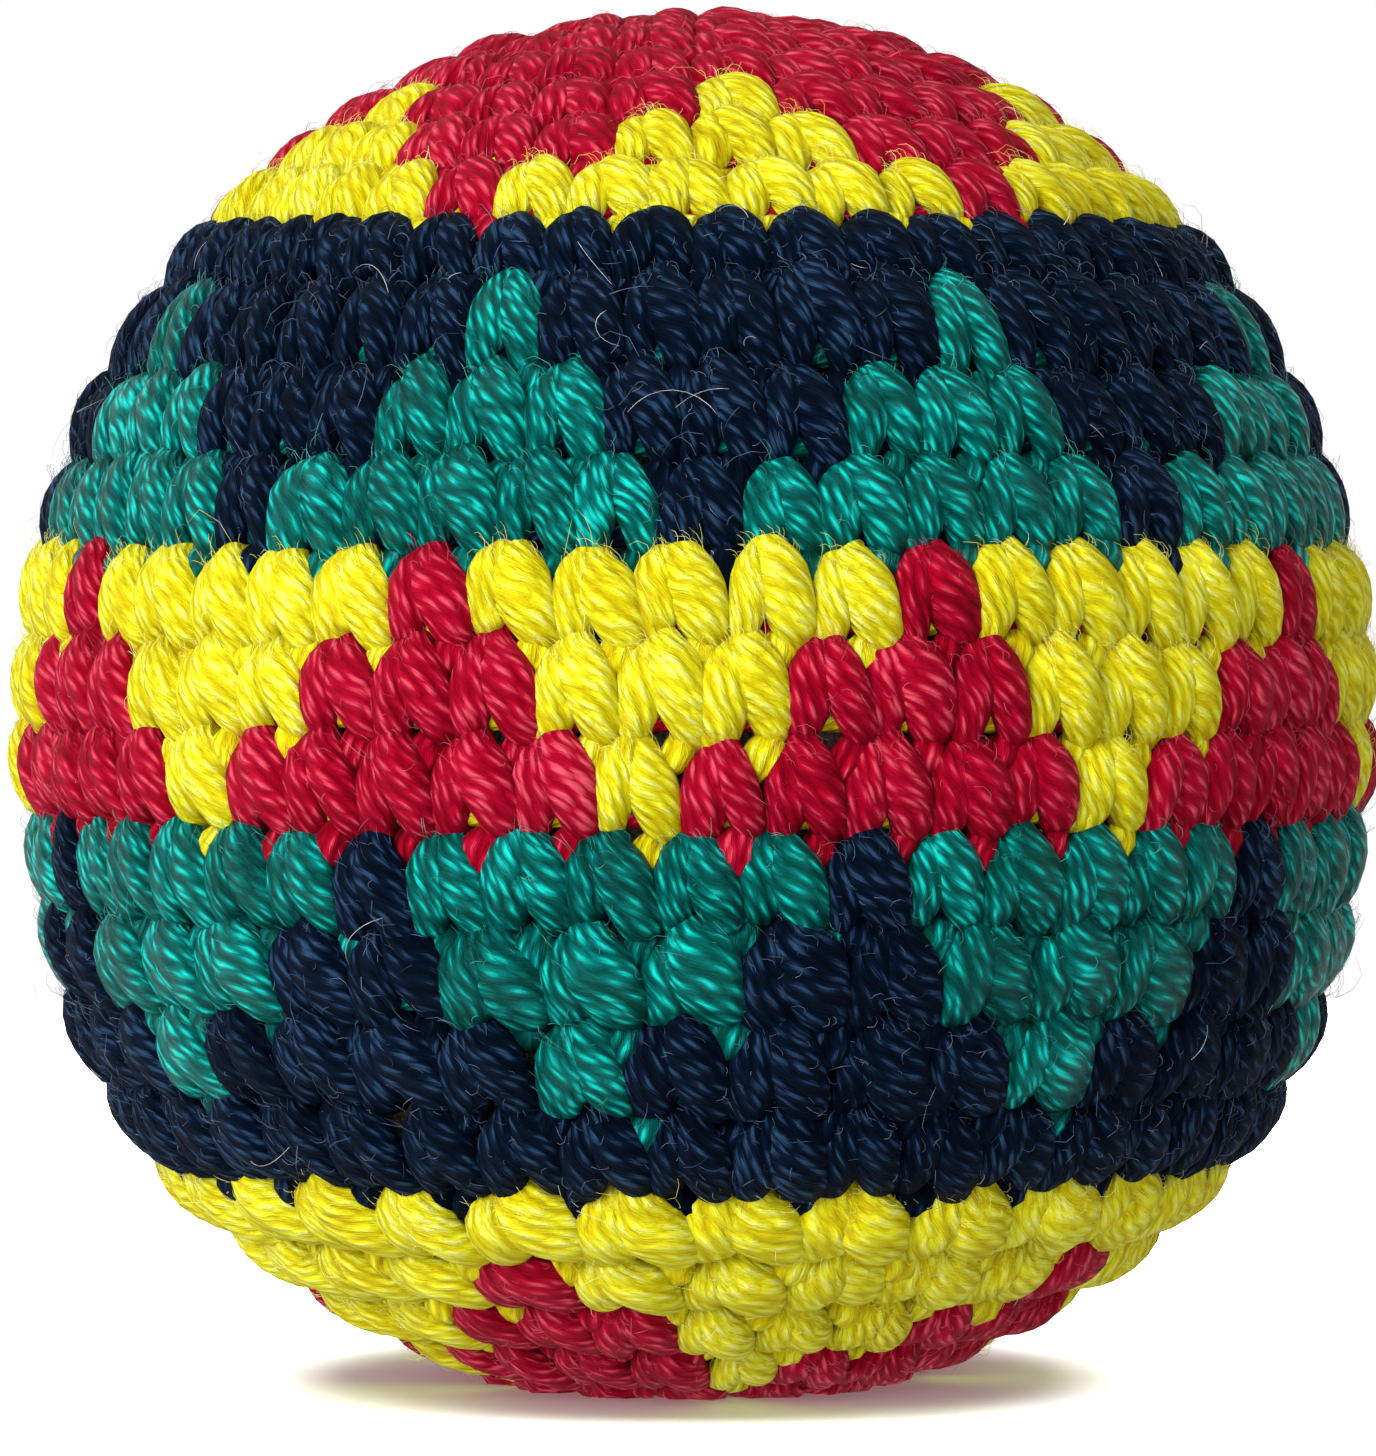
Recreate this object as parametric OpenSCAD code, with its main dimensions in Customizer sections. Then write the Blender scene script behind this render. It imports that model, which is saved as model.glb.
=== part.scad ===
// Crocheted juggling ball: 24 rounds of single crochet over a filled liner bag.
// Frame: origin at the middle of the flat patch it rests on, +Z up, millimetres.
// The front, with the first motifs of each round, faces -Y.

/* [Ball] */
// Width across the widest round, over the stitches
ball_w = 64; // [60:0.5:72]
// Height of the middle of the ball over the surface it rests on
centre_h = 31.6; // [31.2:0.05:32]

/* [Cover] */
// Thickness of the crocheted fabric, from its inside face to the top of a stitch
fabric_t = 3.2; // [2.4:0.1:4]
// Radius of the rounded back of one round of stitches
stitch_r = 3.16; // [2.7:0.02:4]
// Size of the starting and gathering loops, centre of yarn to pole
loop_r = 0.7; // [0.6:0.02:0.74]
// Half the thickness of the yarn in those loops
yarn_r = 0.55; // [0.4:0.01:0.56]

/* [Inside] */
// Room between the cover and the liner bag, and between the liner bag and the filling
ease = 0.3; // [0.2:0.05:0.6]
// Thickness of the liner cloth
liner_t = 0.4; // [0.3:0.05:0.8]
// Half the thickness of the seam thread
seam_r = 0.3; // [0.2:0.02:0.36]

/* [Parts] */
// Part to draw

/* [Hidden] */
$fn = 108;
red = "#b3152f";
yellow = "#efdc26";
navy = "#14233f";
green = "#0b8071";
cloth = "#d9d2c3";
thread = "#f3efe6";
pellet = "#e9e6dc";

// One row a round, from the crown down: stitches in the round, times the motif repeats,
// stitches in the first colour's run, azimuth of the middle of that run in degrees (0 is the
// front, positive to the right), and how much wider the front stitches are than the mean.
CHART = [
  [6, 1, 6, 0, 0], [12, 1, 12, 0, 0], [18, 1, 18, 0, 0], [24, 1, 24, 0, 0],
  [30, 6, 1, 6, 0.07], [36, 6, 3, 5, 0.07], [42, 6, 6, 4, 0.07],
  [48, 1, 48, 0, 0.05],
  [54, 9, 1, -16, 0.13], [54, 9, 3, -17.5, 0.05], [54, 9, 5, -19.5, 0.035],
  [54, 9, 5, -1, 0.04], [54, 9, 3, -2.5, 0.01], [54, 9, 1, -4.3, 0.01],
  [54, 9, 5, -6.4, 0.03], [45, 9, 3, -8, 0.065], [45, 9, 1, -9, 0.085],
  [45, 1, 45, 0, 0.03], [30, 1, 30, 0, 0],
  [30, 5, 5, 16.5, 0.12], [30, 5, 3, 15.7, 0.07], [25, 5, 1, 9.8, 0.07],
  [15, 1, 15, 0, 0], [8, 1, 8, 0, 0]
];

k = ball_w / 64;
rest_z = -centre_h * k;
pole_lat = 87.5;       // the rounds stop here and leave the hole of the loop
crown_low = 37.2;      // latitude where the eight crown rounds end
side_top = 28.2;       // and where the nine even side rounds start
side_low = -41;
crown_n = 8;
side_n = 9;
base_n = 6;

// Radius from the middle of the ball to the top of the stitches, by latitude: nearly a sphere,
// with the fuller shoulder low down that the weight of the filling gives it.
function crest(lat) = k * lookup(lat, [
  [-90, 33.2], [-84, 33.4], [-76, 33.7], [-68, 33.2], [-55, 33.2], [-45, 33.6], [-38, 33.5],
  [-30, 33.1], [-20, 32.6], [-10, 31.9], [0, 31.85], [20, 31.75], [30, 31.9],
  [45, 32.15], [60, 32.2], [75, 32.3], [90, 32.1]
]);

// Latitude of the groove above round i + 1.
function groove(i) =
  i <= crown_n ? pole_lat - (pole_lat - crown_low) * i / crown_n :
  i <= crown_n + 1 + side_n ? side_top - (side_top - side_low) * (i - crown_n - 1) / side_n :
  side_low - (side_low + pole_lat) * (i - crown_n - 1 - side_n) / base_n;

function middle(i) = (groove(i - 1) + groove(i)) / 2;
function at(rho, lat) = [rho * cos(lat), rho * sin(lat)];

// A point inside the ball, lifted where needed so that a depth of fabric stays under it.
function seat(p, depth) = [p.x, max(p.y, rest_z + depth)];

// Azimuth with the hand's uneven tension in it: stitches are wider where stretch adds.
function hand(az, stretch) = az + stretch * 180 / PI * sin(az);

// Section of round i: a wedge of the fabric between two grooves, with a rounded back.
module section(i) {
  top = groove(i - 1);
  low = groove(i);
  inside = fabric_t * k;
  over = 2;
  intersection() {
    polygon([
      seat(at(crest(top) - inside, top), inside), at(crest(top) + over, top),
      at(crest(low) + over, low), seat(at(crest(low) - inside, low), inside)
    ]);
    translate(at(crest(middle(i)) - stitch_r * k, middle(i)))
      circle(r = stitch_r * k, $fn = 28);
    translate([0, rest_z]) square([40, 80]);
  }
}

// A length of round i, from one azimuth to another.
module run(i, from, to)
  rotate([0, 0, from - 90])
    rotate_extrude(angle = to - from)
      section(i);

module whole_round(i) rotate_extrude() section(i);

// The runs of the first colour of round i, or of the second.
module runs(i, first) {
  row = CHART[i - 1];
  pitch = 360 / row[0];
  period = 360 / row[1];
  start = row[3] - row[2] * pitch / 2;
  for (m = [0 : row[1] - 1]) {
    a = start + m * period;
    b = a + row[2] * pitch;
    c = a + period;
    if (first) run(i, hand(a, row[4]), hand(b, row[4]));
    else run(i, hand(b, row[4]), hand(c, row[4]));
  }
}

// A closed loop of yarn, thread or cord round the axis.
module loop(ring_r, half, z)
  translate([0, 0, z])
    rotate_extrude($fn = 54)
      translate([ring_r, 0]) circle(r = half, $fn = 12);

// Half section of the ball pulled in by a depth, from one latitude to another, and flat over
// the surface that the ball rests on.
function skin(depth, from, to, steps) = [
  for (s = [0 : steps]) let (lat = from + (to - from) * s / steps)
    seat(at(crest(lat) - depth, lat), depth)
];

liner_out = fabric_t * k + ease;
liner_in = liner_out + liner_t;
fill_out = liner_in + ease;
seam_half = 0.8;       // the halves stop this far short of the seam, in degrees
steps = 12;

module liner(from, to)
  rotate_extrude($fn = 54)
    polygon(concat(skin(liner_out, from, to, steps), skin(liner_in, to, from, steps)));

module up() translate([0, 0, -rest_z]) children();

module round_01_red() color(red) up() whole_round(1);
module round_02_red() color(red) up() whole_round(2);
module round_03_red() color(red) up() whole_round(3);
module round_04_red() color(red) up() whole_round(4);
module round_05_yellow() color(yellow) up() runs(5, true);
module round_05_red() color(red) up() runs(5, false);
module round_06_yellow() color(yellow) up() runs(6, true);
module round_06_red() color(red) up() runs(6, false);
module round_07_yellow() color(yellow) up() runs(7, true);
module round_07_red() color(red) up() runs(7, false);
module round_08_navy() color(navy) up() whole_round(8);
module round_09_green() color(green) up() runs(9, true);
module round_09_navy() color(navy) up() runs(9, false);
module round_10_green() color(green) up() runs(10, true);
module round_10_navy() color(navy) up() runs(10, false);
module round_11_green() color(green) up() runs(11, true);
module round_11_navy() color(navy) up() runs(11, false);
module round_12_yellow() color(yellow) up() runs(12, true);
module round_12_red() color(red) up() runs(12, false);
module round_13_yellow() color(yellow) up() runs(13, true);
module round_13_red() color(red) up() runs(13, false);
module round_14_yellow() color(yellow) up() runs(14, true);
module round_14_red() color(red) up() runs(14, false);
module round_15_green() color(green) up() runs(15, true);
module round_15_navy() color(navy) up() runs(15, false);
module round_16_green() color(green) up() runs(16, true);
module round_16_navy() color(navy) up() runs(16, false);
module round_17_green() color(green) up() runs(17, true);
module round_17_navy() color(navy) up() runs(17, false);
module round_18_navy() color(navy) up() whole_round(18);
module round_19_yellow() color(yellow) up() whole_round(19);
module round_20_yellow() color(yellow) up() runs(20, true);
module round_20_red() color(red) up() runs(20, false);
module round_21_yellow() color(yellow) up() runs(21, true);
module round_21_red() color(red) up() runs(21, false);
module round_22_yellow() color(yellow) up() runs(22, true);
module round_22_red() color(red) up() runs(22, false);
module round_23_red() color(red) up() whole_round(23);
module round_24_red() color(red) up() whole_round(24);

crown_z = crest(90) - 1;
gather_z = rest_z + 1.2;
knot_z = rest_z + 2.6;
knot_r = 0.8;

module starting_ring() color(red) up() loop(loop_r, yarn_r, crown_z);
module gathering_ring() color(red) up() loop(loop_r, yarn_r, gather_z);
module fastening_knot() color(red) up() translate([0, 0, knot_z]) sphere(r = knot_r, $fn = 24);
module liner_upper() color(cloth) up() liner(seam_half, 90);
module liner_lower() color(cloth) up() liner(-90, -seam_half);
module liner_seam() color(thread) up() loop(crest(0) - (liner_out + liner_in) / 2, seam_r, 0);
module filling() color(pellet) up() rotate_extrude($fn = 54)
  polygon(skin(fill_out, -90, 90, 2 * steps));

round_01_red();
round_02_red();
round_03_red();
round_04_red();
round_05_yellow();
round_05_red();
round_06_yellow();
round_06_red();
round_07_yellow();
round_07_red();
round_08_navy();
round_09_green();
round_09_navy();
round_10_green();
round_10_navy();
round_11_green();
round_11_navy();
round_12_yellow();
round_12_red();
round_13_yellow();
round_13_red();
round_14_yellow();
round_14_red();
round_15_green();
round_15_navy();
round_16_green();
round_16_navy();
round_17_green();
round_17_navy();
round_18_navy();
round_19_yellow();
round_20_yellow();
round_20_red();
round_21_yellow();
round_21_red();
round_22_yellow();
round_22_red();
round_23_red();
round_24_red();
starting_ring();
gathering_ring();
fastening_knot();
liner_upper();
liner_lower();
liner_seam();
filling();
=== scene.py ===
# %% [markdown]
# # A crocheted juggling ball
# The ball is a bag of small pellets inside a cover of single crochet. The cover is worked in 24
# rounds from the crown down, and the second colour of each band is carried inside the stitches.
# The frame gives every piece its place. Here the plain rings of the cover become real stitches of
# plied cotton, which come out of the fabric, bulge, and go back into it.

# %% The frame
import math
import bpy
import numpy as np
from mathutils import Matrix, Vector


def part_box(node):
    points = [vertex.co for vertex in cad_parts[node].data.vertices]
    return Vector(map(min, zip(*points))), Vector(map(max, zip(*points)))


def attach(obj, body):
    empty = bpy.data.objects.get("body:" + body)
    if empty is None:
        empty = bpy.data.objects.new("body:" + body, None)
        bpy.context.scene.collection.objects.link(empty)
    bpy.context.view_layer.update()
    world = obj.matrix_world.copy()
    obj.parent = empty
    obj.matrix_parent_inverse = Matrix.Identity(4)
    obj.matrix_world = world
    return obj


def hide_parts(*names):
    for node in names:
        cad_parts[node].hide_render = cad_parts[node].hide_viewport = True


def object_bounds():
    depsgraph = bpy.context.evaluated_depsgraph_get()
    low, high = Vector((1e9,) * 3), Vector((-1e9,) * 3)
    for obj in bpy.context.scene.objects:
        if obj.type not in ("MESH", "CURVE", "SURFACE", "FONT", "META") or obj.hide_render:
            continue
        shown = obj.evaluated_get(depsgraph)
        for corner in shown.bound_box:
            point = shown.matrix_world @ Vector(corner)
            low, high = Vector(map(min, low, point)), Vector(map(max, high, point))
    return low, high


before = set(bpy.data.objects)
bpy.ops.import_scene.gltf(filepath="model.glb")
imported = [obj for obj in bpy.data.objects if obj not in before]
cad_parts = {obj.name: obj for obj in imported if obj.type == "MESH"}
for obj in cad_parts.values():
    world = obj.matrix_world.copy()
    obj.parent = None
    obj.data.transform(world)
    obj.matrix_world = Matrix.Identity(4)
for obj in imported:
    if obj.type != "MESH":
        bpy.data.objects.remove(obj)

MM = 0.001
cad_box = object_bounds()
cad_low, cad_high = (np.array(corner) for corner in cad_box)
seam_low, seam_high = (np.array(corner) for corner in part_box("liner_seam"))
centre_z = (seam_low[2] + seam_high[2]) / 2
ball_scale = (cad_high[0] - cad_low[0]) / (63.7 * MM)
rng = np.random.default_rng(64)
print(f"ball {1000 * (cad_high[0] - cad_low[0]):.1f} mm wide, its middle at {1000 * centre_z:.2f} mm")

# %% [markdown]
# ## Colours and nodes
# Colours are written as hex values, as a dyer's card gives them, and one function turns them to
# linear light. One small function adds a shader node: its properties are named, and each of its
# inputs is given a value or the node or socket that feeds it.

# %% Colour and node helpers
def linear(hex_colour):
    """sRGB hex to linear RGBA: c/12.92 when small, else ((c + 0.055)/1.055) to the power 2.4."""
    c = np.array([int(hex_colour[i:i + 2], 16) for i in (1, 3, 5)]) / 255
    c = np.where(c <= 0.04045, c / 12.92, ((c + 0.055) / 1.055) ** 2.4)
    return (*c.tolist(), 1.0)


def add(tree, kind, inputs=(), **properties):
    """Adds a node, sets its properties, and sets or links its inputs, by name or in order."""
    node = tree.nodes.new("ShaderNode" + kind)
    for name, value in properties.items():
        setattr(node, name, value)
    named = inputs.items() if isinstance(inputs, dict) else enumerate(inputs)
    for key, value in named:
        source = value.outputs[0] if isinstance(value, bpy.types.Node) else value
        if isinstance(source, bpy.types.NodeSocket):
            tree.links.new(source, node.inputs[key])
        else:
            node.inputs[key].default_value = source
    return node


def new_material(name):
    """An empty node material and its tree."""
    material = bpy.data.materials.new(name)
    material.use_nodes = True
    material.node_tree.nodes.clear()
    return material, material.node_tree


print("crimson is", [round(c, 3) for c in linear("#a80f2d")[:3]], "in linear light")

# %% [markdown]
# ## Plied cotton
# Crochet cotton is a dozen fine plies twisted together. Each ply is itself twisted, so light does
# not run along it in a line but breaks into short bright dashes about a millimetre long, with
# dark creases between the plies. The UV map of every strand counts plies across (U) and
# millimetres along (V), so all of this is drawn at its real size: a Voronoi pattern, squeezed
# across and drawn out along, gives dashes that are never quite alike, and noise gives the fibres.
# The dashes and creases are bumps, and they are also painted into the colour: painted highlights
# on the dashes and painted shade in the creases.
# Mercerised yarn is smooth and shines; plain dyed yarn is softer, and its loose fibres give it a
# pale bloom where it turns away. The attribute "shade" holds how well each stitch took the dye,
# less a painted shade where a point lies deep in the fabric.

# %% Cotton material
DASH = 1.0       # mm from one dash to the next along a ply


def cotton(name, colours, rough, gloss, gloss_colour, bloom, fleck):
    """Plied cotton: four colours, from the painted shade of the deepest crease to the painted
    highlight of the brightest dash of a ply.
    """
    material, tree = new_material(name)
    uv = add(tree, "UVMap", uv_map="strand")
    across, along = add(tree, "SeparateXYZ", [uv]).outputs[:2]

    # the plies wander a little instead of running dead straight
    place = add(tree, "TexCoord").outputs["Object"]
    wander = add(tree, "TexNoise", {"Vector": place, "Scale": 500.0, "Detail": 1.0})
    across = add(tree, "Math", [wander.outputs[0], 1.3, across], operation="MULTIPLY_ADD")
    # the round back of a ply: 0 in the crease, 1 on top; it shapes the bump and paints shade in the creases
    ply = add(tree, "Math", [across, math.pi], operation="MULTIPLY")
    ply = add(tree, "Math", [add(tree, "Math", [ply], operation="SINE")], operation="ABSOLUTE")
    # dashes in a brick pattern: half a dash later on each next ply; they shape the bump and paint
    # highlights
    later = add(tree, "Math", [along, 1 / DASH, 0.0], operation="MULTIPLY_ADD")
    later = add(tree, "Math", [across, 0.5, later], operation="MULTIPLY_ADD")
    brick = add(tree, "CombineXYZ", [across, later])
    spot = add(tree, "TexVoronoi", {"Vector": brick, "Scale": 1.0, "Randomness": 0.8},
               voronoi_dimensions="2D")
    dash = add(tree, "MapRange", [spot.outputs["Distance"], 0.08, 0.6, 1.0, 0.0])
    # single fibres, a few hundredths of a millimetre wide
    thin = add(tree, "Math", [along, 0.8, across], operation="MULTIPLY_ADD")
    hair = add(tree, "CombineXYZ", [thin, add(tree, "Math", [along, 0.16], operation="MULTIPLY")])
    fibre = add(tree, "TexNoise", {"Vector": hair, "Scale": 6.0, "Detail": 3.0, "Roughness": 0.65})
    fibre = add(tree, "Math", [fibre.outputs[0], 0.5], operation="SUBTRACT")
    # dye taken up unevenly over several millimetres
    worn = add(tree, "TexNoise", {"Vector": place, "Scale": 260.0, "Detail": 2.0})
    worn = add(tree, "Math", [worn.outputs[0], 0.5], operation="SUBTRACT")

    height = add(tree, "Math", [ply, 0.3, dash], operation="MULTIPLY_ADD")
    height = add(tree, "Math", [fibre, 0.9, height], operation="MULTIPLY_ADD")
    bump = add(tree, "Bump", {"Height": height, "Strength": 1.0, "Distance": 0.27 * MM})

    # this attribute holds each stitch's dye tone, less a painted shade deep in the fabric
    shade = add(tree, "Attribute", attribute_name="shade", attribute_type="GEOMETRY").outputs["Fac"]
    # the colour: painted shade in the creases between plies and painted highlights on the dashes, with the
    # fibres and the uneven dye
    tone = add(tree, "Math", [ply, 0.15, shade], operation="MULTIPLY_ADD")
    tone = add(tree, "Math", [dash, 0.5, tone], operation="MULTIPLY_ADD")
    tone = add(tree, "Math", [fibre, fleck, tone], operation="MULTIPLY_ADD")
    tone = add(tree, "Math", [worn, 0.25, tone], operation="MULTIPLY_ADD")
    ramp = add(tree, "ValToRGB", [tone])
    stops = ramp.color_ramp.elements
    stops[0].position = 0.0
    stops[1].position = 1.0
    for position in (0.4, 0.72):
        stops.new(position)
    for stop, colour in zip(stops, colours):
        stop.color = linear(colour)

    shader = add(tree, "BsdfPrincipled", {
        "Base Color": ramp, "Normal": bump, "Roughness": rough, "IOR": 1.4,
        "Specular IOR Level": gloss, "Specular Tint": linear(gloss_colour),
        "Sheen Weight": bloom, "Sheen Roughness": 0.4, "Sheen Tint": linear(gloss_colour)})
    add(tree, "OutputMaterial", [shader])
    return material


# each list runs from the painted shade of a crease, through the dye, to the painted highlight of a dash
COTTON = {
    "red": cotton("soft_cotton_dyed_crimson", ["#200006", "#94001a", "#b80a30", "#f0566a"],
                  0.62, 0.24, "#ff5a78", 0.05, 0.5),
    "yellow": cotton("soft_cotton_dyed_yellow", ["#8c6000", "#dac806", "#f6f226", "#fffe80"],
                     0.60, 0.26, "#fff080", 0.05, 0.4),
    "navy": cotton("dull_cotton_dyed_navy", ["#000004", "#01060f", "#061225", "#2c4868"],
                   0.70, 0.20, "#5a80b8", 0.05, 0.9),
    "green": cotton("mercerised_cotton_dyed_teal", ["#000c0b", "#013e39", "#02706a", "#16e0d2"],
                    0.33, 0.85, "#30e0d0", 0.02, 0.4),
}
print("cotton in", ", ".join(COTTON))

# %% [markdown]
# ## The pattern
# Each round is a row of the pattern: how many stitches it has, how often the motif repeats, how
# many stitches of the first colour and which colours. The motifs drift from round to round, as
# they do in a real ball, because a single crochet stitch leans to one side.

# %% The chart of rounds
# stitches, motif repeats, first colour, its run, second colour, azimuth of the run's middle in
# degrees (0 is the front, positive to the right), how much wider the front stitches are
CHART = [
    (6, 1, "red", 6, None, 0, 0),
    (12, 1, "red", 12, None, 0, 0),
    (18, 1, "red", 18, None, 0, 0),
    (24, 1, "red", 24, None, 0, 0),
    (30, 6, "yellow", 1, "red", 6, 0.07),
    (36, 6, "yellow", 3, "red", 5, 0.07),
    (42, 6, "yellow", 6, "red", 4, 0.07),
    (48, 1, "navy", 48, None, 0, 0.05),
    (54, 9, "green", 1, "navy", -16, 0.13),
    (54, 9, "green", 3, "navy", -17.5, 0.05),
    (54, 9, "green", 5, "navy", -19.5, 0.035),
    (54, 9, "yellow", 5, "red", -1, 0.04),
    (54, 9, "yellow", 3, "red", -2.5, 0.01),
    (54, 9, "yellow", 1, "red", -4.3, 0.01),
    (54, 9, "green", 5, "navy", -6.4, 0.03),
    (45, 9, "green", 3, "navy", -8, 0.065),
    (45, 9, "green", 1, "navy", -9, 0.085),
    (45, 1, "navy", 45, None, 0, 0.03),
    (30, 1, "yellow", 30, None, 0, 0),
    (30, 5, "yellow", 5, "red", 16.5, 0.12),
    (30, 5, "yellow", 3, "red", 15.7, 0.07),
    (25, 5, "yellow", 1, "red", 9.8, 0.07),
    (15, 1, "red", 15, None, 0, 0),
    (8, 1, "red", 8, None, 0, 0),
]
print(sum(row[0] for row in CHART), "stitches in", len(CHART), "rounds")

# %% [markdown]
# ## The shape of the ball
# The ball is nearly a sphere. The pellets settle, so it is a little fuller low down and stands
# on a small flat patch. Its outline is a radius for each latitude, and the grooves between the
# rounds are latitudes too: rounds are closer at the crown, where the fabric starts. No round is
# quite level, because the hand's tension varies, so each groove waves by a third of a degree.

# %% Outline and grooves
POLE_LAT = 87.5
CROWN_LOW = 37.2
SIDE_TOP = 28.2
SIDE_LOW = -41
CREST_LAT = [-90, -84, -76, -68, -55, -45, -38, -30, -20, -10, 0, 20, 30, 45, 60, 75, 90]
CREST_R = [33.2, 33.4, 33.7, 33.2, 33.2, 33.6, 33.5, 33.1, 32.6, 31.9, 31.85, 31.75, 31.9,
           32.15, 32.2, 32.3, 32.1]
GROOVES = np.concatenate([
    np.linspace(POLE_LAT, CROWN_LOW, 9),
    np.linspace(SIDE_TOP, SIDE_LOW, 10),
    np.linspace(SIDE_LOW, -POLE_LAT, 7)[1:],
])


def crest(lat):
    """Radius in metres from the ball's middle to the top of the stitches at a latitude."""
    return np.interp(lat, CREST_LAT, CREST_R) * MM * ball_scale


def on_ball(az, lat, rho):
    """Point at azimuth az (0 faces -Y), latitude lat and radius rho about the ball's middle."""
    a, b = np.radians(az), np.radians(lat)
    flat = rho * np.cos(b)
    return np.stack([flat * np.sin(a), -flat * np.cos(a), centre_z + rho * np.sin(b)], -1)


def groove(index, az):
    """Latitude of a groove at an azimuth: its own level and two slow waves."""
    wave = 0.22 * np.sin(np.radians(3 * az) + 1.7 * index) + 0.14 * np.sin(np.radians(8 * az) + 2.9 * index)
    return GROOVES[index] + wave * np.cos(np.radians(GROOVES[index]))


def lay_out(number):
    """Azimuths of the middle and width of each stitch in a round, and its colour."""
    stitches, repeats, first, run, second, middle, stretch = CHART[number - 1]
    pitch = 360 / stitches
    edge = middle - run * pitch / 2 + pitch * np.arange(stitches + 1)
    edge = edge + stretch * np.degrees(np.sin(np.radians(edge)))
    in_first = np.arange(stitches) % (stitches // repeats) < run
    return (edge[:-1] + edge[1:]) / 2, np.diff(edge), np.where(in_first, first, second or first)


print(f"rounds are {-np.diff(GROOVES).max():.1f} to {-np.diff(GROOVES).min():.1f} degrees high")

# %% [markdown]
# ## A strand
# A strand is carried along a path: an oval profile is swept along a smooth curve through a few
# points, and its columns turn as it goes to give the yarn its twist. All the strands of a round
# are worked out at once, as arrays. The plies are too fine to be faces, so the UV map counts them
# and the material draws them. A hair-thin fibre is the same thing with three sides.

# %% Sweeping strands
TWIST = 11 * MM      # length of one whole turn of the yarn


def smooth(points, t):
    """Catmull-Rom curve: each stretch is the cubic through two points that leaves each of them
    parallel to the line between its neighbours. points is (strands, points, values)."""
    before = 2 * points[:, :1] - points[:, 1:2]
    after = 2 * points[:, -1:] - points[:, -2:-1]
    row = np.concatenate([before, points, after], 1)
    i = np.minimum(t.astype(int), points.shape[1] - 2)
    f = (t - i)[None, :, None]
    p0, p1, p2, p3 = (row[:, i + k] for k in range(4))
    curve = 2 * p1 + (p2 - p0) * f + (2 * p0 - 5 * p1 + 4 * p2 - p3) * f**2
    return 0.5 * (curve + (3 * p1 - p0 - 3 * p2 + p3) * f**3)


def sweep(path, wide, thick, side, columns, plies, tone=0.0):
    """Closed tubes along path (strands, rings, 3): an oval, wide by thick in half sizes, turned by
    its length over TWIST. side is the way that wide is measured, and plies how many plies U
    counts. Returns points, quads, triangles, their UVs and each point's tone."""
    strands, rings = path.shape[:2]
    ahead = np.gradient(path, axis=1)
    ahead /= np.linalg.norm(ahead, axis=2, keepdims=True)
    across = side - (side * ahead).sum(2, keepdims=True) * ahead
    across /= np.linalg.norm(across, axis=2, keepdims=True)
    out = np.cross(ahead, across)
    step = np.linalg.norm(np.diff(path, axis=1), axis=2)
    length = np.concatenate([np.zeros((strands, 1)), np.cumsum(step, 1)], 1)
    column = np.arange(columns)
    start = rng.uniform(0, 2 * np.pi, (strands, 1, 1))
    angle = 2 * np.pi * column / columns + start - 2 * np.pi * length[:, :, None] / TWIST
    ring = (
        path[:, :, None]
        + (wide[:, :, None] * np.cos(angle))[..., None] * across[:, :, None]
        + (thick[:, :, None] * np.sin(angle))[..., None] * out[:, :, None]
    )
    head = path[:, 0] - ahead[:, 0] * thick[:, :1] * 0.5
    tail = path[:, -1] + ahead[:, -1] * thick[:, -1:] * 0.5
    points = np.concatenate([ring.reshape(strands, -1, 3), head[:, None], tail[:, None]], 1)
    each = rings * columns + 2

    i, j = np.meshgrid(np.arange(rings - 1), column, indexing="ij")
    k = (j + 1) % columns
    quads = np.stack([i * columns + j, i * columns + k, (i + 1) * columns + k, (i + 1) * columns + j], -1)
    after = (column + 1) % columns
    last = (rings - 1) * columns
    caps = np.concatenate([
        np.stack([np.full(columns, each - 2), after, column], -1),
        np.stack([np.full(columns, each - 1), last + column, last + after], -1)])
    first = (np.arange(strands) * each)[:, None, None]

    u = np.stack([j, j + 1, j + 1, j], -1).reshape(-1) * plies / columns
    shift = rng.uniform(0, 40, strands)[:, None]
    v = length[:, np.stack([i, i, i + 1, i + 1], -1).reshape(-1)] / MM + shift
    cap_u = np.concatenate([
        np.stack([column, column + 1, column], -1), np.stack([column, column, column + 1], -1)])
    cap_u = cap_u.reshape(-1) * plies / columns
    cap_v = np.repeat(length[:, [0, -1]] / MM + shift, 3 * columns, 1)
    uv_quads = np.stack([np.broadcast_to(u, v.shape), v], -1).reshape(-1, 2)
    uv_caps = np.stack([np.broadcast_to(cap_u, cap_v.shape), cap_v], -1).reshape(-1, 2)
    return (points.reshape(-1, 3), (quads.reshape(1, -1, 4) + first).reshape(-1, 4),
            (caps[None] + first).reshape(-1, 3), uv_quads, uv_caps,
            np.repeat(np.broadcast_to(tone, strands), each))


# the painted shade of the creases: the colour darkens with depth under the top of the stitches
LIT_DEPTH = 0.65     # mm under the top of the stitches where it starts to get darker
DARK_SPAN = 1.35     # mm from there to the darkest place


def deep(points):
    """Depth share of a point, which also sets its painted shade: 0 on the outside, rising smoothly
    to 1 deep in the fabric.
    """
    away = points - np.array([0, 0, centre_z])
    rho = np.linalg.norm(away, axis=1)
    level = away[:, 2] / rho
    foot = centre_z / np.maximum(-level, 1e-3)
    under = np.minimum(crest(np.degrees(np.arcsin(level))), foot) - rho
    x = np.clip((under / MM - LIT_DEPTH) / DARK_SPAN, 0, 1)
    return x * x * (3 - 2 * x)


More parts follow.
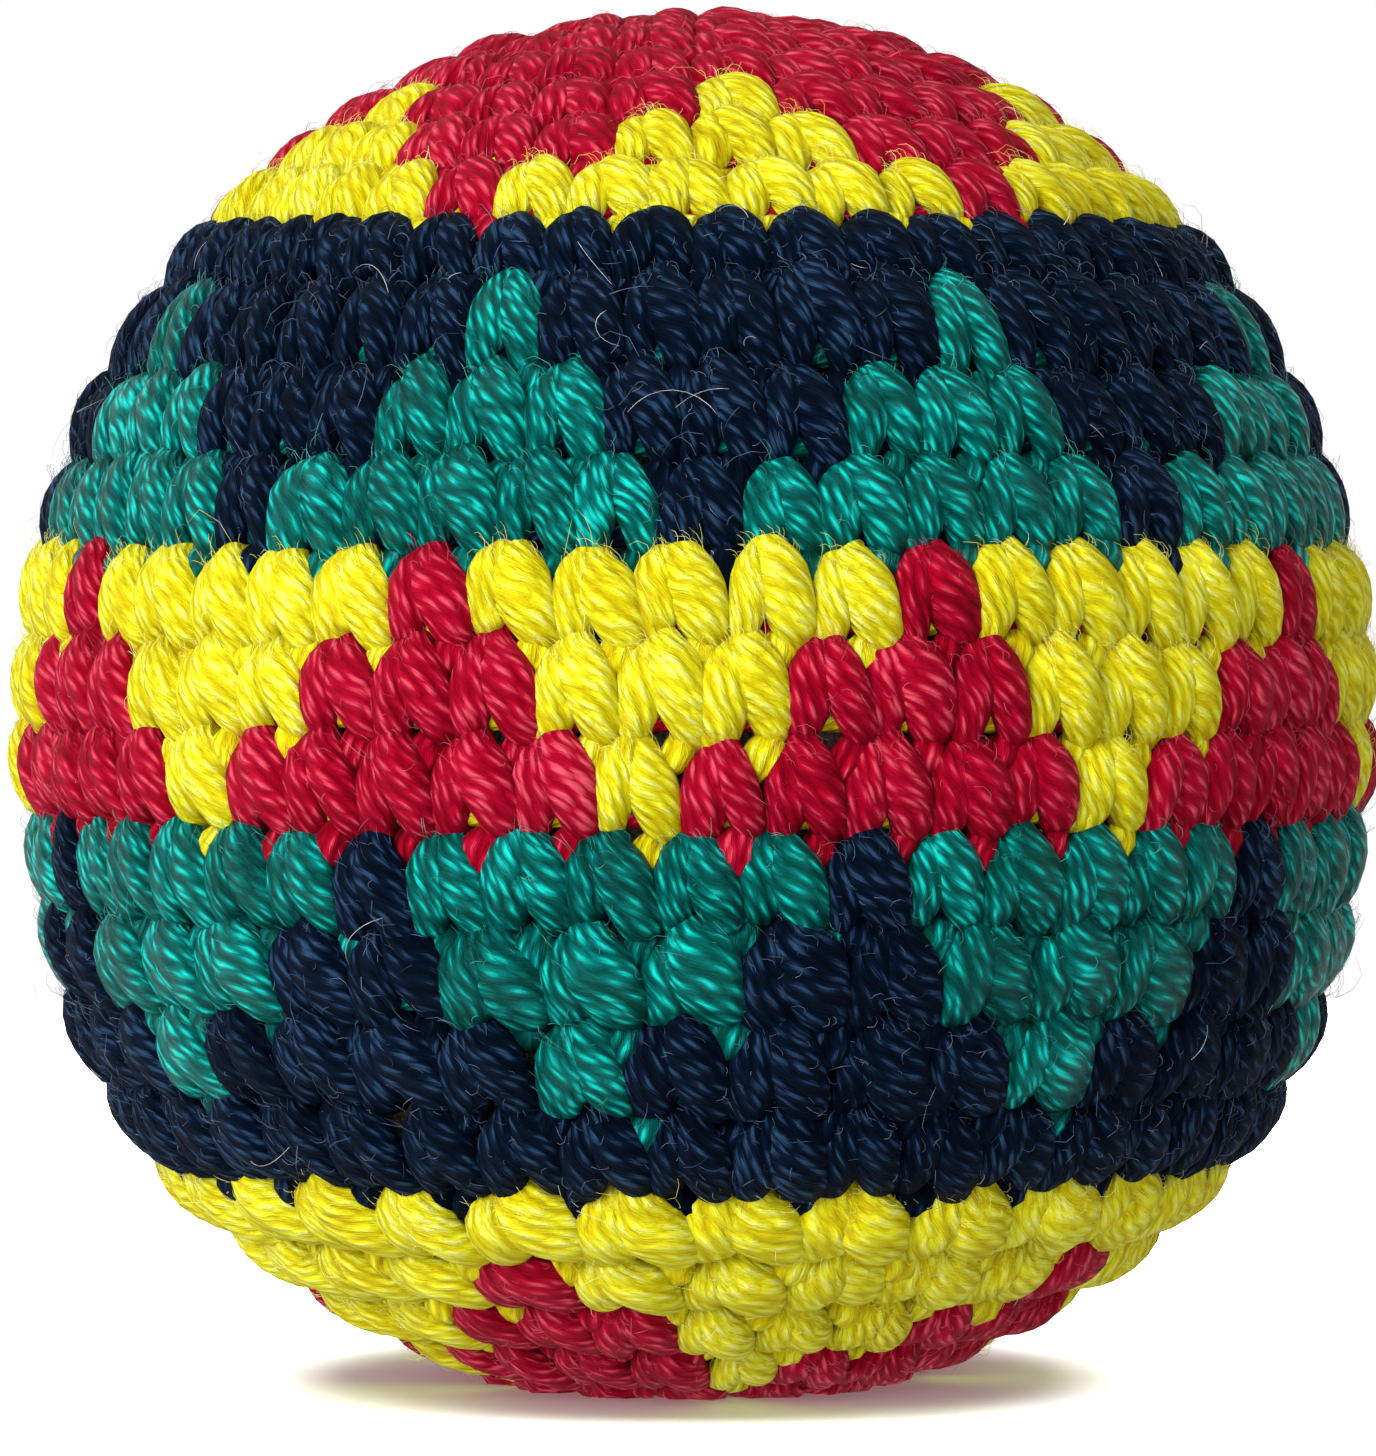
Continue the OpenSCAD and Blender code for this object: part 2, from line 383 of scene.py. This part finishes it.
def make_piece(name, parts, material, nodes=(), painted_shade_weight=0.5):
    """One mesh from several swept groups, standing on the floor, with its UV map and its shade
    attribute: each strand's dye tone, less a painted shade, its weight times how deep the point lies."""
    points = np.concatenate([p[0] for p in parts])
    points[:, 2] = np.maximum(points[:, 2], 0.0)
    starts = np.cumsum([0] + [len(p[0]) for p in parts[:-1]])
    quads = np.concatenate([p[1] + s for p, s in zip(parts, starts)])
    tris = np.concatenate([p[2] + s for p, s in zip(parts, starts)])
    uvs = np.concatenate([p[3] for p in parts] + [p[4] for p in parts])
    # painted shade: the colour is darker where a point lies deep in the fabric
    shade = np.concatenate([p[5] for p in parts]) + 0.32 - painted_shade_weight * deep(points)
    mesh = bpy.data.meshes.new(name)
    mesh.vertices.add(len(points))
    mesh.vertices.foreach_set("co", points.ravel())
    mesh.loops.add(quads.size + tris.size)
    mesh.loops.foreach_set("vertex_index", np.concatenate([quads.ravel(), tris.ravel()]))
    mesh.polygons.add(len(quads) + len(tris))
    starts = np.concatenate([np.arange(len(quads)) * 4, quads.size + np.arange(len(tris)) * 3])
    mesh.polygons.foreach_set("loop_start", starts)
    mesh.polygons.foreach_set("use_smooth", np.ones(len(starts), bool))
    mesh.uv_layers.new(name="strand").data.foreach_set("uv", uvs.ravel())
    mesh.attributes.new("shade", "FLOAT", "POINT").data.foreach_set("value", shade)
    mesh.materials.append(material)
    mesh.update()
    mesh.validate()
    piece = bpy.data.objects.new(name, mesh)
    bpy.context.collection.objects.link(piece)
    if nodes:
        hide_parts(*nodes)
    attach(piece, "root")
    return piece


def triangles(pieces):
    """Triangles in each of some pieces: a face with n corners is n - 2 of them."""
    return [len(p.data.loops) - 2 * len(p.data.polygons) for p in pieces]


# %% [markdown]
# ## A stitch
# Seen from outside, a single crochet stitch is a hump with two legs. Each leg comes out of the
# fabric at the top, bulges, and goes back in below, under the next round. The right leg crosses
# over the left one and leans to the right, and in the valley between two humps of the next round
# the end of the stitch's loop hangs like a drop. Where the legs part low down, the carried yarn
# of the other colour shows between them. The shapes are a few points each, moved a little by
# chance for every stitch, because no two stitches of a hand are alike.

# %% Legs, drops and carried yarn
# Each point: place across the stitch and down the round, both as shares; depth of the strand's
# middle under the top of the stitches in mm; half width as a share of the stitch; half thickness
# in mm.
LEFT_LEG = np.array([
    (-0.12, 0.16, -2.50, 0.12, 0.50),
    (-0.11, -0.11, -1.90, 0.13, 0.60),
    (-0.15, 0.03, -1.24, 0.22, 0.78),
    (-0.24, 0.26, -0.88, 0.31, 0.87),
    (-0.30, 0.55, -0.90, 0.30, 0.87),
    (-0.36, 0.84, -1.30, 0.24, 0.80),
    (-0.38, 1.08, -2.30, 0.16, 0.58),
])
RIGHT_LEG = np.array([
    (-0.04, 0.16, -2.50, 0.12, 0.50),
    (-0.05, -0.12, -1.80, 0.14, 0.60),
    (-0.03, 0.01, -1.10, 0.23, 0.80),
    (0.06, 0.25, -0.72, 0.34, 0.89),
    (0.18, 0.53, -0.76, 0.32, 0.89),
    (0.29, 0.82, -1.16, 0.26, 0.84),
    (0.35, 1.06, -2.20, 0.17, 0.62),
])
DROP = np.array([
    (0.06, 1.30, -2.40, 0.12, 0.50),
    (0.10, 1.27, -1.60, 0.19, 0.62),
    (0.22, 1.13, -1.20, 0.24, 0.72),
    (0.33, 0.98, -1.45, 0.20, 0.62),
    (0.38, 0.93, -2.40, 0.12, 0.45),
])
LEG_RINGS = 12
LEG_COLUMNS = 20
LEG_PLIES = 12
LAID_LOWER = 0.22    # mm that every path lies lower than the tables say, so the ball keeps its size
DROP_RINGS = 8
VALLEY = 0.40


def strands(number, shape, chosen, rings, drop=False):
    """Path, half sizes and side of one strand of the chosen stitches of a round."""
    middle, width, _ = lay_out(number)
    middle, width = middle[chosen], width[chosen]
    count = len(middle)
    points = np.repeat(shape[None], count, 0)
    points[:, :, 0] += rng.normal(0, 0.026, (count, 1)) + rng.normal(0, 0.014, points.shape[:2])
    points[:, :, 1] += rng.normal(0, 0.034, (count, 1)) + rng.normal(0, 0.012, points.shape[:2])
    points[:, :, 2] += rng.normal(0, 0.10, (count, 1))
    points[:, :, 3] *= rng.normal(1, 0.08, (count, 1))
    az = middle[:, None] + points[:, :, 0] * width[:, None]
    if drop and number < len(CHART):
        below, apart, _ = lay_out(number + 1)
        valley = below + VALLEY * apart
        gap = (valley[None] - (middle + 0.22 * width)[:, None] + 180) % 360 - 180
        nearest = np.take_along_axis(gap, np.abs(gap).argmin(1)[:, None], 1)
        az += np.clip(nearest, -0.35 * width[:, None], 0.35 * width[:, None])
    top = groove(number - 1, az)
    low = groove(number, az)
    lat = top - points[:, :, 1] * (top - low)
    values = np.stack([az, lat, points[:, :, 2], points[:, :, 3], points[:, :, 4]], -1)
    values = smooth(values, np.linspace(0, len(shape) - 1, rings))
    az, lat = values[..., 0], np.clip(values[..., 1], -89.5, 89.5)
    mid = (GROOVES[number - 1] + GROOVES[number]) / 2
    stitch = np.radians(width)[:, None] * crest(mid) * np.cos(np.radians(mid))
    path = on_ball(az, lat, crest(lat) + (values[..., 2] - LAID_LOWER) * MM)
    path[..., 2] = np.maximum(path[..., 2], 0.6 * values[..., 4] * MM)
    a = np.radians(az)
    side = np.stack([np.cos(a), np.sin(a), np.zeros_like(a)], -1)
    if drop:
        side = side * 0.7 + np.array([0, 0, -0.7])
    return path, values[..., 3] * stitch, values[..., 4] * MM, side


def carried(number, chosen):
    """The other colour's strand, lying along the round behind the legs of the chosen stitches."""
    middle, width, _ = lay_out(number)
    middle, width = middle[chosen], width[chosen]
    az = middle[:, None] + np.linspace(-0.55, 0.55, 7) * width[:, None]
    lat = groove(number - 1, az) * 0.28 + groove(number, az) * 0.72
    a, b = np.radians(az), np.radians(lat)
    path = on_ball(az, lat, crest(lat) - 1.75 * MM)
    path[..., 2] = np.maximum(path[..., 2], 0.5 * MM)
    side = np.stack([-np.sin(b) * np.sin(a), np.sin(b) * np.cos(a), np.cos(b)], -1)
    half = np.full(az.shape, 0.62 * MM)
    return path, half, half, side


print(f"a side stitch is {1000 * math.radians(360 / 54) * crest(0):.2f} mm wide")

# %% [markdown]
# The cover is made round by round. Each colour of a round is one piece: its humps, its drops, and
# the strands of it that are carried through the other colour's stitches.

# %% The cover
cover = {}
brows = {}
backs = {}
for number, row in enumerate(CHART, 1):
    colours = lay_out(number)[2]
    for colour in [c for c in (row[2], row[4]) if c]:
        chosen = np.flatnonzero(colours == colour)
        others = np.flatnonzero(colours != colour)
        tone = rng.normal(0, 0.045, len(chosen))
        parts = [
            sweep(*strands(number, LEFT_LEG, chosen, LEG_RINGS), LEG_COLUMNS, LEG_PLIES, tone),
            sweep(*strands(number, RIGHT_LEG, chosen, LEG_RINGS), LEG_COLUMNS, LEG_PLIES, tone),
            # the drops hang in the valleys between the next round's humps and get a painted shade: their
            # tone is 0.05 lower
            sweep(*strands(number, DROP, chosen, DROP_RINGS, drop=True), 12, 9, tone - 0.05),
        ]
        if len(others):
            parts.append(sweep(*carried(number, others), 12, 8, 0.1))
        for part in parts[:2]:
            rings = part[0].reshape(len(chosen), -1, 3)[:, :-2].reshape(-1, LEG_RINGS, LEG_COLUMNS, 3)
            brows.setdefault(colour, []).append(rings[:, 3:6].reshape(-1, 3))
            backs.setdefault(colour, []).append(rings[:, 6:10].reshape(-1, 3))
        node = f"round_{number:02d}_{colour}"
        piece = make_piece("stitches_" + node, parts, COTTON[colour], [node])
        cover.setdefault(colour, []).append(piece)
counts = triangles(sum(cover.values(), []))
print(len(counts), "cover pieces,", sum(counts), "triangles, at most", max(counts))

# %% [markdown]
# ## Loose fibres
# Cotton is spun from short fibres, and some of their ends stand out of the yarn. On the dark
# bands they are the first thing that catches the light, and on the yellow humps they make a soft
# edge. A fibre is 0.02 mm thick; these are drawn at about 0.025 mm, the thinnest that still shows.
# Each is a curl: it leaves the yarn at a random point, bends over and lies along the surface.

# %% Loose fibre material
def loose_fibre(name, dark, pale):
    """Fibre ends: paler than the yarn, since there is air between them."""
    material, tree = new_material(name)
    place = add(tree, "TexCoord").outputs["Object"]
    noise = add(tree, "TexNoise", {"Vector": place, "Scale": 900.0, "Detail": 1.0})
    ramp = add(tree, "ValToRGB", [noise])
    ramp.color_ramp.elements[0].position = 0.35
    ramp.color_ramp.elements[0].color = linear(dark)
    ramp.color_ramp.elements[1].position = 0.65
    ramp.color_ramp.elements[1].color = linear(pale)
    shader = add(tree, "BsdfPrincipled", {"Base Color": ramp, "Roughness": 0.6, "IOR": 1.5,
                                          "Specular IOR Level": 0.4})
    add(tree, "OutputMaterial", [shader])
    return material


# on which colour, fibres on the brows of the humps and on their backs, mean length and half
# thickness in mm, points of each, and two colours
FLUFF = {
    "loose_fibres_red": ("red", 5200, 1500, 0.60, 0.012, 4, "#8f1c30", "#df7080"),
    "loose_fibres_yellow": ("yellow", 7200, 900, 0.68, 0.012, 4, "#d8cf40", "#fffba8"),
    "loose_fibres_navy": ("navy", 3500, 3500, 0.72, 0.013, 4, "#14263f", "#6f86a4"),
    "loose_fibres_green": ("green", 2500, 900, 0.60, 0.012, 4, "#086a62", "#58c4b8"),
    "stray_white_lint": ("navy", 0, 60, 2.60, 0.014, 9, "#a8aab0", "#f4f4f2"),
}


def curls(base, lift, mean, half, rings):
    """Arcs from base points: along the surface by the sine and cosine of a turn of each fibre's
    own, while it rises and comes down again. Where lift is 1 the fibre leans upwards."""
    count = len(base)
    away = base - np.array([0, 0, centre_z])
    away /= np.linalg.norm(away, axis=1, keepdims=True)
    lean = rng.normal(size=(count, 3)) + lift[:, None] * np.array([0, 0, 2.4])
    lean -= (lean * away).sum(1, keepdims=True) * away
    lean /= np.linalg.norm(lean, axis=1, keepdims=True)
    aside = np.cross(away, lean)[:, None]
    size = (mean * rng.lognormal(-0.1, 0.5, count) * MM)[:, None, None]
    turn = rng.uniform(0.3, 2.6, count)[:, None, None]
    rise = (rng.uniform(0.2, 0.9, count) + 0.35 * lift)[:, None, None]
    t = np.linspace(0, 1, rings)[None, :, None]
    along = lean[:, None] * np.sin(turn * t) / turn + aside * (1 - np.cos(turn * t)) / turn
    path = base[:, None] + size * (along + away[:, None] * rise * t * (1.1 - t))
    width = np.broadcast_to(np.linspace(1, 0.45, rings) * half * MM, (count, rings))
    return path, width, width, np.broadcast_to(away[:, None] + 0.1, path.shape)


def roots(clouds, count):
    """Some points of these, chosen by chance, that lie on the outside of the fabric."""
    points = np.concatenate(clouds)
    outside = points[deep(points) < 0.25]
    return outside[rng.choice(len(outside), min(count, len(outside)), replace=False)]


# %% Loose fibres on every colour
fluff = []
for name, (colour, on_brows, on_backs, mean, half, rings, dark, pale) in FLUFF.items():
    base = [roots(brows[colour], on_brows), roots(backs[colour], on_backs)]
    lift = np.repeat([1.0, 0.0], [len(base[0]), len(base[1])])
    parts = [sweep(*curls(np.concatenate(base), lift, mean, half, rings), 3, 1)]
    fluff.append(make_piece(name, parts, loose_fibre(name, dark, pale)))
print(sum(sum(row[1:3]) for row in FLUFF.values()), "loose fibres,", sum(triangles(fluff)), "triangles")

# %% [markdown]
# ## Rings and knot
# The first round is worked into a ring of yarn, and the last one is gathered on another, whose
# tail is tied in a knot inside the ball. Each is a closed tube round a closed path: the columns
# move on by a whole number of plies in one round, so the twist meets itself. The knot is a
# trefoil, the simplest closed knot.

# %% Closed tubes
def closed_tube(path, side, half, plies=8, slant=1, tone=0.0):
    """A tube round a closed path (rings, 3): circles of radius half at right angles to the path,
    each turned a little more, until they have moved on by slant plies."""
    rings, columns = len(path), 2 * plies
    ahead = np.roll(path, -1, 0) - np.roll(path, 1, 0)
    ahead /= np.linalg.norm(ahead, axis=1, keepdims=True)
    across = side - (side * ahead).sum(1, keepdims=True) * ahead
    across /= np.linalg.norm(across, axis=1, keepdims=True)
    out = np.cross(ahead, across)
    ring, column = np.meshgrid(np.arange(rings), np.arange(columns), indexing="ij")
    angle = 2 * np.pi * (column / columns - slant * ring / rings / plies)
    points = path[:, None] + half * (
        np.cos(angle)[..., None] * across[:, None] + np.sin(angle)[..., None] * out[:, None])
    last = ring == rings - 1
    after = np.where(last, 0, ring + 1) * columns
    moved = np.where(last, column - 2 * slant, column)
    here = ring * columns
    quads = np.stack([here + column, here + (column + 1) % columns,
                      after + (moved + 1) % columns, after + moved % columns], -1).reshape(-1, 4)
    step = np.linalg.norm(np.roll(path, -1, 0) - path, axis=1)
    length = np.concatenate([[0], np.cumsum(step)]) / MM
    u = np.stack([column, column + 1, column + 1, column], -1).reshape(-1) / 2
    v = length[np.stack([ring, ring, ring + 1, ring + 1], -1).reshape(-1)]
    return (points.reshape(-1, 3), quads, np.zeros((0, 3), int), np.stack([u, v], -1),
            np.zeros((0, 2)), np.full(rings * columns, tone))


def ring_of(node, rings):
    """Middle, radius and half thickness of a ring's CAD node, and the directions round it."""
    low, high = (np.array(corner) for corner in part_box(node))
    half = (high[2] - low[2]) / 2
    t = 2 * np.pi * np.arange(rings) / rings
    way = np.stack([np.cos(t), np.sin(t), np.zeros(rings)], 1)
    return (low + high) / 2, (high[0] - low[0]) / 2 - half, half, t, way


# %% The starting ring, the gathering ring and the knot
for node in ("starting_ring", "gathering_ring"):
    middle, radius, half, _, way = ring_of(node, 48)
    parts = [closed_tube(middle + radius * way, way, half)]
    ring = make_piece("yarn_" + node, parts, COTTON["red"], [node], painted_shade_weight=0)

middle, _, half, t, _ = ring_of("fastening_knot", 96)
trefoil = np.stack([np.sin(t) + 2 * np.sin(2 * t), np.cos(t) - 2 * np.cos(2 * t), -2.1 * np.sin(3 * t)], 1)
parts = [closed_tube(middle + 0.22 * half * trefoil, np.array([[0, 0, 1.0]]), 0.31 * half, slant=3)]
knot = make_piece("yarn_fastening_knot", parts, COTTON["red"], ["fastening_knot"], painted_shade_weight=0)
print("rings and knot:", len(ring.data.vertices), "and", len(knot.data.vertices), "points")

# %% [markdown]
# ## The liner
# The pellets are held in a bag, so that none can work out between the stitches. It is two halves
# of unbleached plain-woven cotton, sewn together round the middle and gathered a little at the
# seam and at the poles. Each half is a dome given as a radius for every azimuth and latitude. Its
# UV map is in millimetres, so the weave has its real pitch of 0.45 mm. Overcast stitches hold the
# seam: one thread that winds round it.

# %% Liner cloth and sewing thread
WEAVE = 0.45         # mm from thread to thread
muslin, tree = new_material("unbleached_muslin")
uv = add(tree, "UVMap", uv_map="strand")
warp_at, weft_at = add(tree, "SeparateXYZ", [uv]).outputs[:2]
warp_phase = add(tree, "Math", [warp_at, math.pi / WEAVE], operation="MULTIPLY")
warp = add(tree, "Math", [warp_phase], operation="SINE")
weft_phase = add(tree, "Math", [weft_at, math.pi / WEAVE], operation="MULTIPLY")
weft = add(tree, "Math", [weft_phase], operation="SINE")
over = add(tree, "Math", [warp, weft], operation="MULTIPLY")
over = add(tree, "MapRange", [over, -0.2, 0.2, 0.0, 1.0])
warp = add(tree, "Math", [warp], operation="ABSOLUTE")
weft = add(tree, "Math", [weft], operation="ABSOLUTE")
weave = add(tree, "Mix", {"Factor": over, "A": weft, "B": warp}, data_type="FLOAT")
slub = add(tree, "TexNoise", {"Vector": add(tree, "TexCoord").outputs["Object"], "Scale": 350.0})
# the colour is lighter on the crowns of the threads and darker between them, a painted shade; the slub
# noise is the cloth's own uneven tone
tone = add(tree, "Math", [slub, 0.6, weave], operation="MULTIPLY_ADD")
tint = add(tree, "ValToRGB", [tone])
tint.color_ramp.elements[0].position = 0.2
tint.color_ramp.elements[0].color = linear("#8d8370")
tint.color_ramp.elements[1].color = linear("#e2dbc8")
relief = add(tree, "Bump", {"Height": weave, "Strength": 0.8, "Distance": 0.08 * MM})
cloth = add(tree, "BsdfPrincipled", {"Base Color": tint, "Normal": relief, "Roughness": 0.85,
                                     "Specular IOR Level": 0.2, "Sheen Weight": 0.1})
add(tree, "OutputMaterial", [cloth])
# the thread, like the yarn, goes from painted crease shade to painted highlight
sewing = cotton("white_sewing_thread", ["#8c867a", "#cfc9bc", "#eee9dd", "#fffdf6"],
                0.45, 0.4, "#ffffff", 0.05, 0.3)


UNDER_CREST = 3.7 * MM * ball_scale


def half_liner(name, node, low, high, pole):
    """A dome between two latitudes with a closed pole: radius 3.7 mm under the crest, with
    pleats that fade away from the seam and from the pole, and flat where the bag stands."""
    columns, rows = 180, 44
    az, lat = np.meshgrid(np.arange(columns) * 360 / columns, np.linspace(low, high, rows))
    level = np.abs(lat)
    pleat = np.sin(np.radians(45 * az)) * np.exp(-level / 9)
    to_pole = (88 - level) / 12
    pleat = pleat + np.sin(np.radians(20 * az)) * np.exp(-to_pole) * np.clip(to_pole, 0, 1)
    fold = np.sin(np.radians(5 * az) + 0.12 * level) * np.sin(np.radians(2.2 * level))
    rho = crest(lat) - UNDER_CREST - (0.14 * pleat + 0.10 * fold) * MM * ball_scale
    points = on_ball(az, lat, rho).reshape(-1, 3)
    top = on_ball(0, pole, crest(pole) - UNDER_CREST)
    points = np.concatenate([points, top[None]])
    points[:, 2] = np.maximum(points[:, 2], UNDER_CREST)
    i, j = np.meshgrid(np.arange(rows - 1), np.arange(columns), indexing="ij")
    k = (j + 1) % columns
    quads = np.stack([i * columns + j, i * columns + k, (i + 1) * columns + k, (i + 1) * columns + j], -1)
    column = np.arange(columns)
    edge = (rows - 1) * columns
    tris = np.stack([edge + column, edge + (column + 1) % columns, np.full(columns, rows * columns)], -1)
    arc = math.radians(1) * crest(0) / MM
    u = np.stack([j, j + 1, j + 1, j], -1).reshape(-1) * 360 / columns * arc
    v = lat[:, 0][np.stack([i, i, i + 1, i + 1], -1).reshape(-1)] * arc
    cap = np.stack([np.stack([column, column + 1, column], -1).reshape(-1) * 360 / columns * arc,
                    np.tile([high * arc, high * arc, pole * arc], columns)], -1)
    if pole < 0:
        quads, tris = quads[..., ::-1], tris[..., ::-1]
        u, v = u.reshape(-1, 4)[:, ::-1].ravel(), v.reshape(-1, 4)[:, ::-1].ravel()
        cap = cap.reshape(-1, 3, 2)[:, ::-1].reshape(-1, 2)
    part = (points, quads.reshape(-1, 4), tris, np.stack([u, v], -1), cap, np.zeros(len(points)))
    piece = make_piece(name, [part], muslin, [node], painted_shade_weight=0)
    area = sum(face.area for face in piece.data.polygons)
    thick = piece.modifiers.new("cloth thickness", "SOLIDIFY")
    thick.thickness = 0.25 * MM
    thick.offset = 0
    return area


# %% The two halves and their seam
for side, low, high, pole in (("upper", 0.9, 88.0, 90), ("lower", -0.9, -88.0, -90)):
    area = half_liner("cloth_liner_" + side, "liner_" + side, low, high, pole)
    print(side, "half of the liner:", round(area * 1e4, 1), "square cm of cloth")

SEWN = 160           # turns of the thread round the seam
middle, radius, half, t, way = ring_of("liner_seam", 11 * SEWN)
turn = SEWN * t
wind = np.stack([way[:, 0] * np.cos(turn), way[:, 1] * np.cos(turn), np.sin(turn)], 1)
parts = [closed_tube(middle + radius * way + 0.62 * half * wind, wind, 0.34 * half, plies=3)]
seam = make_piece("overcast_liner_seam", parts, sewing, ["liner_seam"], painted_shade_weight=0)
print(SEWN, "stitches in the seam,", triangles([seam])[0], "triangles")

# %% [markdown]
# ## The filling
# About a thousand moulding pellets of polypropylene give the ball its weight and its soft catch.
# Such pellets are short barrels about 4 mm long, cut from a strand. They are laid out in the
# closest packing of spheres, then turned and moved by chance.

# %% Pellets
pellet, tree = new_material("milky_polypropylene")
place = add(tree, "TexCoord").outputs["Object"]
cloud = add(tree, "TexNoise", {"Vector": place, "Scale": 220.0, "Detail": 2.0})
milk = add(tree, "ValToRGB", [cloud])
milk.color_ramp.elements[0].color = linear("#d5d2c6")
milk.color_ramp.elements[1].color = linear("#f6f4ec")
scuff = add(tree, "TexNoise", {"Vector": place, "Scale": 1500.0, "Detail": 2.0})
rub = add(tree, "Bump", {"Height": scuff, "Strength": 0.3, "Distance": 0.05 * MM})
skin = add(tree, "BsdfPrincipled", {"Base Color": milk, "Normal": rub, "Roughness": 0.38, "IOR": 1.49,
                                    "Subsurface Weight": 0.3, "Subsurface Scale": 1.0 * MM})
add(tree, "OutputMaterial", [skin])

APART = 4.6 * MM * ball_scale
n = np.arange(-9, 10)
cell = np.stack(np.meshgrid(n, n, n), -1).reshape(-1, 3)
spots = cell[cell.sum(1) % 2 == 0] * APART / math.sqrt(2) + np.array([0, 0, centre_z])
spots = spots + rng.normal(0, 0.18 * MM, spots.shape)
away = spots - np.array([0, 0, centre_z])
rho = np.linalg.norm(away, axis=1)
inside = rho < crest(np.degrees(np.arcsin(away[:, 2] / np.maximum(rho, 1e-6)))) - 6.5 * MM * ball_scale
spots = spots[inside & (spots[:, 2] > 6.6 * MM * ball_scale)]
axis = rng.normal(size=spots.shape)
axis /= np.linalg.norm(axis, axis=1, keepdims=True)
aside = np.cross(axis, rng.normal(size=spots.shape))
long_half = rng.uniform(1.5, 1.8, len(spots))[:, None, None] * MM * ball_scale
path = spots[:, None] + axis[:, None] * long_half * np.array([-0.75, 0, 0.75])[None, :, None]
girth = rng.uniform(1.7, 2.0, len(spots))[:, None] * np.array([0.82, 1.0, 0.82]) * MM * ball_scale
parts = [sweep(path, girth, girth, np.repeat(aside[:, None], 3, 1), 6, 1)]
filling = make_piece("pellet_filling", parts, pellet, ["filling"], painted_shade_weight=0)
print(len(spots), "pellets,", triangles([filling])[0], "triangles")

# %% [markdown]
# ## Floor, light and camera
# The ball stands on white paper in a white studio. The light is soft and comes from the left of
# the camera: the sky is a smooth gradient, and a softbox stands where the gradient is brightest.
# The paper is lit on its own by a wide softbox overhead, and the first one doesn't reach it, so
# the ball's shadow lies right under it. The camera sees the studio wall as plain white.

# %% Paper floor
floor_mesh = bpy.data.meshes.new("floor")
floor_mesh.from_pydata([(-0.3, -0.3, 0), (0.3, -0.3, 0), (0.3, 0.3, 0), (-0.3, 0.3, 0)], [], [(0, 1, 2, 3)])
floor = bpy.data.objects.new("floor", floor_mesh)
bpy.context.collection.objects.link(floor)
floor.visible_diffuse = False
floor.visible_glossy = False
paper, tree = new_material("white_paper_sweep")
grain = add(tree, "TexNoise", {"Vector": add(tree, "TexCoord").outputs["Object"], "Scale": 900.0})
tooth = add(tree, "Bump", {"Height": grain, "Strength": 0.1, "Distance": 0.05 * MM})
sheet = add(tree, "BsdfPrincipled", {
    "Base Color": linear("#f4f4f4"), "Roughness": 0.9, "Normal": tooth,
    "Emission Color": (1, 1, 1, 1), "Emission Strength": 0.1})
add(tree, "OutputMaterial", [sheet])
floor_mesh.materials.append(paper)

# %% Sky and softboxes
world = bpy.data.worlds.new("studio")
bpy.context.scene.world = world
world.use_nodes = True
sky = world.node_tree
sky.nodes.clear()
way = add(sky, "TexCoord").outputs["Generated"]
facing = add(sky, "VectorMath", [way, (-0.66, -0.74, 0.12)], operation="DOT_PRODUCT").outputs["Value"]
glow = add(sky, "MapRange", [facing, -1.0, 1.0, 0.50, 1.04])
seen = add(sky, "LightPath").outputs["Is Camera Ray"]
strength = add(sky, "Mix", {"Factor": seen, "A": glow, "B": 1.0}, data_type="FLOAT")
light = add(sky, "Background", {"Color": (1, 1, 1, 1), "Strength": strength})
add(sky, "OutputWorld", [light])


def softbox(name, place, size, power):
    """A square area light at place, facing the ball."""
    lamp = bpy.data.lights.new(name, "AREA")
    lamp.size = size
    lamp.energy = power
    box = bpy.data.objects.new(name, lamp)
    bpy.context.collection.objects.link(box)
    box.location = place
    box.rotation_euler = (Vector((0, 0, centre_z)) - Vector(place)).to_track_quat("-Z", "Y").to_euler()
    return box


# one side of the first softbox is 0.4 m and it gives 6.8 W
key = softbox("key", (-0.46, -0.64, 0.32), 0.40, 6.8)
overhead = softbox("overhead", (0.0, 0.0, 0.9), 1.6, 115.0)
for lamp, state in ((key, "EXCLUDE"), (overhead, "INCLUDE")):
    group = bpy.data.collections.new(lamp.name + "_and_paper")
    group.objects.link(floor)
    group.collection_objects[0].light_linking.link_state = state
    lamp.light_linking.receiver_collection = group

# %% Camera
half_width = (cad_high[0] - cad_low[0]) / 2
distance = 11 * half_width
lift = math.radians(1.1)
lens = bpy.data.cameras.new("camera")
lens.sensor_fit = "HORIZONTAL"
lens.sensor_width = 36
lens.lens = 196.6
lens.clip_start = 0.01
lens.shift_x = -0.0058
lens.shift_y = -0.0203
camera = bpy.data.objects.new("camera", lens)
bpy.context.collection.objects.link(camera)
camera.location = (0, -distance * math.cos(lift), centre_z + distance * math.sin(lift))
camera.rotation_euler = (math.radians(90) - lift, 0, 0)
bpy.context.scene.camera = camera
bpy.context.scene.view_settings.view_transform = "Standard"
print(f"camera {1000 * distance:.0f} mm from the ball's middle")
